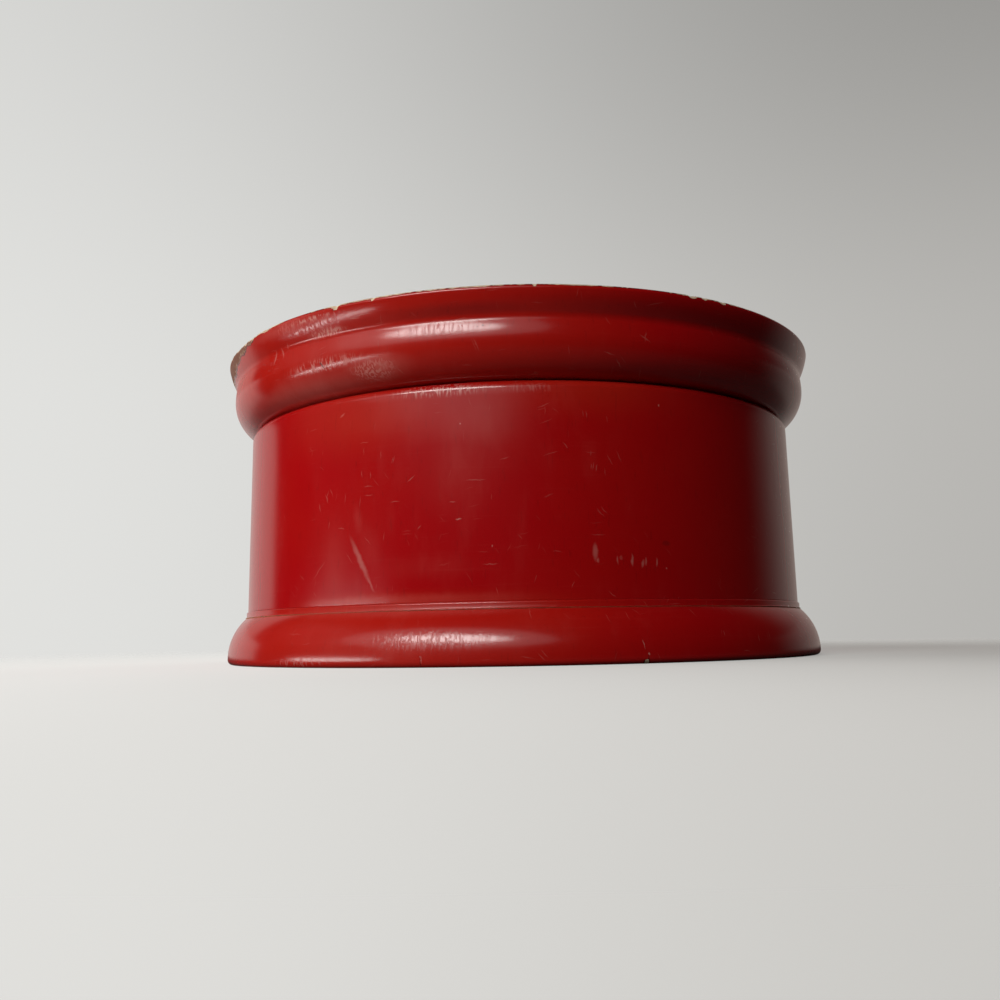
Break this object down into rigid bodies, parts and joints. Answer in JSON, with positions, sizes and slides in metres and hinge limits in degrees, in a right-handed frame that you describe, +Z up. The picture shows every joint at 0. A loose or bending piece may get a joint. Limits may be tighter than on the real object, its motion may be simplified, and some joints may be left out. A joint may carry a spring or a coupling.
{
  "type": "trinket box",
  "caption": "Round turned wooden box in red lacquer: a low straight wall on a flared foot, with a lift-off lid moulded with a bead, a cove and a lip.",
  "frame": {"origin": "centre of the foot's flat underside, at table level", "axes": "+Z up along the turning axis; the box is round and has no front, so +X and +Y are free choices"},
  "size_m": [0.1312, 0.1312, 0.0657],
  "materials": {
    "red_lacquer": "worn glossy red lacquer over upright wood grain",
    "inner_lacquer": "satin black-brown lacquer, rubbed where the lid slides",
    "base_wood": "dull bare wood with age stains"
  },
  "bodies": {
    "box_body": {"foot_ring": "red_lacquer", "base_board": "base_wood", "body_wall": "red_lacquer", "lid_collar": "inner_lacquer"},
    "lid": {"lid_moulding_ring": "red_lacquer", "lid_top_board": "red_lacquer"}
  },
  "joints": [
    {"name": "lid_lift", "type": "slide", "parent": "box_body", "child": "lid", "axis": [0, 0, 1], "range_m": [0, 0.04]}
  ]
}
